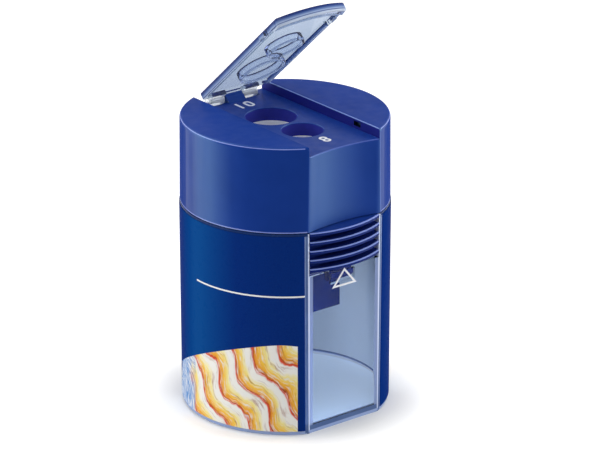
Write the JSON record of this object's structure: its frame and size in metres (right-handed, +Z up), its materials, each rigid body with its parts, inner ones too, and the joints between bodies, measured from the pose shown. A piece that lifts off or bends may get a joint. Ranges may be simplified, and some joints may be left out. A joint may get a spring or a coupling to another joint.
{
  "type": "pencil sharpener",
  "caption": "Barrel pencil sharpener with a clear flat-sided shavings tub, an opaque head with pencil holes of unlike size, a hinged clear lid and ribbed press pads that release the head.",
  "frame": {"origin": "middle of the base's underside", "axes": "+Z up along the barrel, -Y out of the front press pad, +Y towards the lid's hinge"},
  "size_m": [0.0432, 0.043, 0.0869],
  "materials": {
    "clear_tub": "clear, faintly blue",
    "label_film": "glossy printed film",
    "white_print": "white print",
    "blue_head": "satin gloss",
    "blue_pad": "satin gloss",
    "clear_lid": "clear blue",
    "cast_block": "fine satin",
    "steel": "ground"
  },
  "bodies": {
    "tub": {"shavings_tub": "clear_tub", "left_label": "label_film", "right_label": "label_film", "front_arrow_mark": "white_print", "rear_arrow_mark": "white_print"},
    "head": {"head_shell": "blue_head", "sharpener_holder": "blue_head", "sharpener_block": "cast_block", "jumbo_blade": "steel", "standard_blade": "steel", "jumbo_blade_screw": "steel", "standard_blade_screw": "steel", "hinge_pin": "steel", "jumbo_number": "white_print", "standard_number": "white_print"},
    "lid": {"flip_lid": "clear_lid", "left_lid_catch": "clear_lid", "right_lid_catch": "clear_lid"},
    "front_press": {"front_press_pad": "blue_pad", "front_latch_hook": "blue_pad"},
    "rear_press": {"rear_press_pad": "blue_pad", "rear_latch_hook": "blue_pad"}
  },
  "joints": [
    {"name": "head_lift", "type": "slide", "parent": "tub", "child": "head", "axis": [0, 0, 1], "range_m": [0, 0.03], "deforming": ["front_latch_hook", "rear_latch_hook"]},
    {"name": "lid_hinge", "type": "hinge", "parent": "head", "child": "lid", "pos_m": [0, 0.0181, 0.0605], "axis": [-1, 0, 0], "range_deg": [-41.8, 63.2], "deforming": ["left_lid_catch", "right_lid_catch"]},
    {"name": "front_press", "type": "hinge", "parent": "head", "child": "front_press", "pos_m": [0, -0.0156, 0.0552], "axis": [1, 0, 0], "range_deg": [0, 3.5], "stiffness_Nm_per_rad": 0.8},
    {"name": "rear_press", "type": "hinge", "parent": "head", "child": "rear_press", "pos_m": [0, 0.0156, 0.0552], "axis": [-1, 0, 0], "range_deg": [0, 3.5], "stiffness_Nm_per_rad": 0.8}
  ]
}
